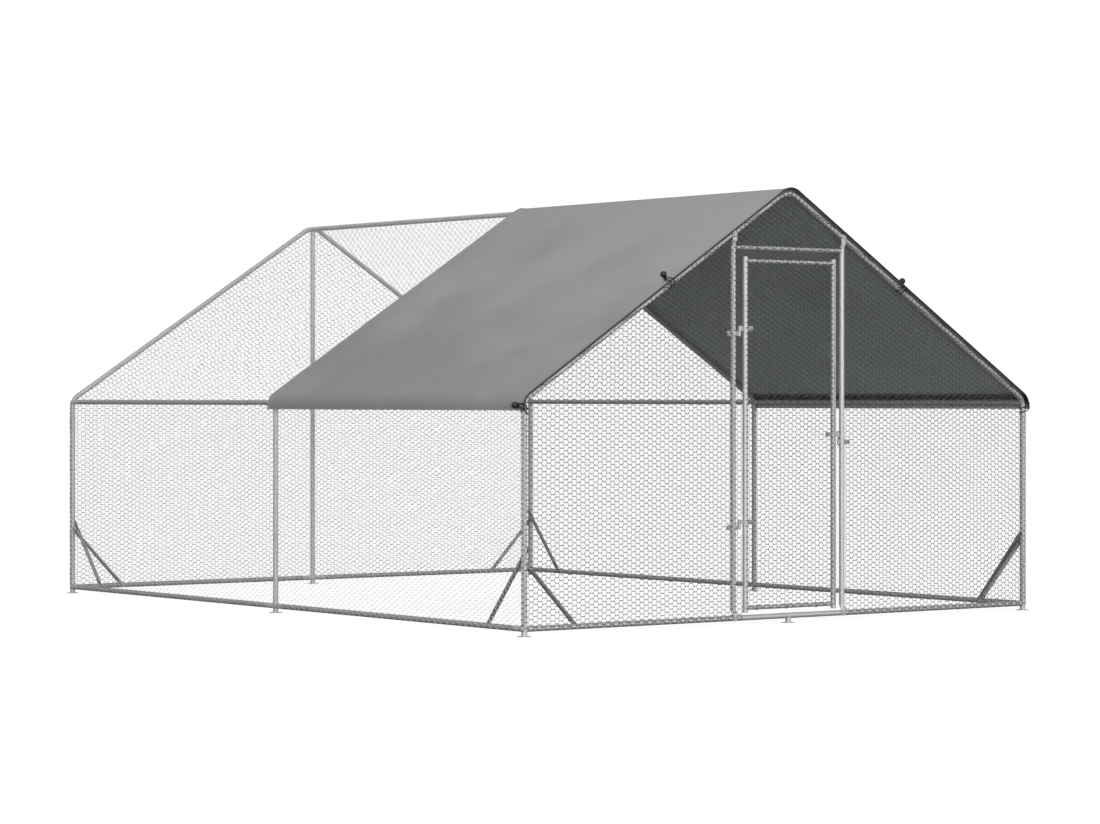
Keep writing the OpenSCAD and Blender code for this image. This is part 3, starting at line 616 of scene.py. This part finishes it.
def cover_sheet():
    """The cover: two skins across the roof from hem to hem, closed at the edges."""
    y0, y1 = FRONT_Y - COVER_FRONT, MID_Y + COVER_BACK
    rows = np.linspace(y0, y1, COVER_ROWS)
    inner = np.concatenate([cover_path(y, COVER_OFF)[0] for y in rows])
    outer = np.concatenate([cover_path(y, COVER_OFF + SHEET_T)[0] for y in rows])
    total = len(inner)
    count = total // len(rows)
    faces, kinds = [], []
    for r in range(len(rows) - 1):
        for c in range(count - 1):
            k = r * count + c
            faces.append((total + k, total + k + 1, total + k + count + 1, total + k + count))
            kinds.append(0)
            faces.append((k, k + count, k + count + 1, k + 1))
            kinds.append(1)
    rim = [r * count for r in range(len(rows))] + [(len(rows) - 1) * count + c for c in range(1, count)]
    rim += [r * count + count - 1 for r in range(len(rows) - 2, -1, -1)] + list(range(count - 2, 0, -1))
    for k, n in zip(rim, rim[1:] + rim[:1]):
        faces.append((k, n, total + n, total + k))
        kinds.append(1)
    made = mesh_object("cover", np.concatenate([inner, outer]), faces, [SHEET_TOP, SHEET_UNDER], kinds)
    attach(made, "frame")
    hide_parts("roof_cover")


def hem_roll(name, y, lit):
    """The rolled edge of the cover at one end, near black as painted shade; faces turned up more than lit
    take the sheet's top colour, a painted lit side.
    """
    points, normals = cover_path(y, COVER_OFF + SHEET_T)
    along = np.array([0.0, 1.0, 0.0])
    rings = []
    for k in range(HEM_SIDES):
        turned = 2 * math.pi * k / HEM_SIDES
        rings.append(points + HEM_R * (math.cos(turned) * normals + math.sin(turned) * along))
    verts = np.stack(rings, 1).reshape(-1, 3)
    i, k = np.meshgrid(np.arange(len(points) - 1), np.arange(HEM_SIDES), indexing="ij")
    after = (k + 1) % HEM_SIDES
    here, there = i * HEM_SIDES, (i + 1) * HEM_SIDES
    faces = np.stack([here + k, here + after, there + after, there + k], -1)
    top = (np.cos(2 * math.pi * (np.arange(HEM_SIDES) + 0.5) / HEM_SIDES) > lit).astype(int)
    made = mesh_object(name, verts, faces.reshape(-1, 4), [SHADED_HEM, SHEET_TOP], np.tile(top, len(points) - 1))
    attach(made, "frame")


cover_sheet()
hem_roll("cover_front_hem", FRONT_Y - COVER_FRONT, NONE_LIT)
hem_roll("cover_rear_hem", MID_Y + COVER_BACK, UPPER_LIT)


# Wire ties that hold the nets on the thin tubes
def tie_rings(name, centres, body):
    """Rings of wire round tubes that lie along X."""
    turns, sides = 20, 6
    verts, faces = [], []
    for x, y, z in centres:
        base = len(verts)
        for i in range(turns):
            a = 2 * math.pi * i / turns
            for k in range(sides):
                b = 2 * math.pi * k / sides
                reach = TIE_R + TWIST_R * math.cos(b)
                verts.append((x + TWIST_R * math.sin(b), y + reach * math.cos(a), z + reach * math.sin(a)))
        for i in range(turns):
            here, there = base + i * sides, base + (i + 1) % turns * sides
            for k in range(sides):
                m = (k + 1) % sides
                faces.append((here + k, there + k, there + m, here + m))
    made = mesh_object(name, verts, faces, [WIRE])
    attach(made, body)


tie_rings("door_ties", [(x, FRONT_Y, z) for x in DOOR_TIES for z in (RAIL_LOW, RAIL_TOP)], "door")
tie_rings("lintel_ties", [(x, FRONT_Y, LINTEL_Z) for x in LINTEL_TIES], "frame")

# Floor and light
edges = (-FLOOR_REACH, FLOOR_REACH)
floor = mesh_object("floor", [(edges[0], edges[0], 0), (edges[1], edges[0], 0),
                              (edges[1], edges[1], 0), (edges[0], edges[1], 0)], [(0, 1, 2, 3)], [FLOOR])
floor.visible_diffuse = False
floor.visible_glossy = False


def studio_world():
    """White all round, dim below the horizon."""
    world = bpy.data.worlds.new("studio")
    bpy.context.scene.world = world
    world.use_nodes = True
    tree = world.node_tree
    background = tree.nodes["Background"]
    background.inputs["Color"].default_value = (1.0, 1.0, 1.0, 1)
    toward = add_node(tree, "ShaderNodeTexCoord")
    split = add_node(tree, "ShaderNodeSeparateXYZ")
    tree.links.new(toward.outputs["Generated"], split.inputs["Vector"])
    strength = add_node(tree, "ShaderNodeMapRange", From_Min=DIM_FROM, From_Max=DIM_TO,
                        To_Min=GLOW_BELOW, To_Max=GLOW_ABOVE)
    tree.links.new(split.outputs["Z"], strength.inputs["Value"])
    tree.links.new(strength.outputs["Result"], background.inputs["Strength"])


def soft_light(name, place, size, power):
    """A square light turned toward the part."""
    data = bpy.data.lights.new(name, "AREA")
    data.size = size
    data.energy = power
    made = bpy.data.objects.new(name, data)
    made.location = place
    made.rotation_euler = (Vector(AIM) - Vector(place)).to_track_quat("-Z", "Y").to_euler()
    bpy.context.scene.collection.objects.link(made)


studio_world()
for light in LIGHTS:
    soft_light(*light)

bpy.context.scene.view_settings.view_transform = "Standard"
bpy.context.scene.view_settings.exposure = 0.0
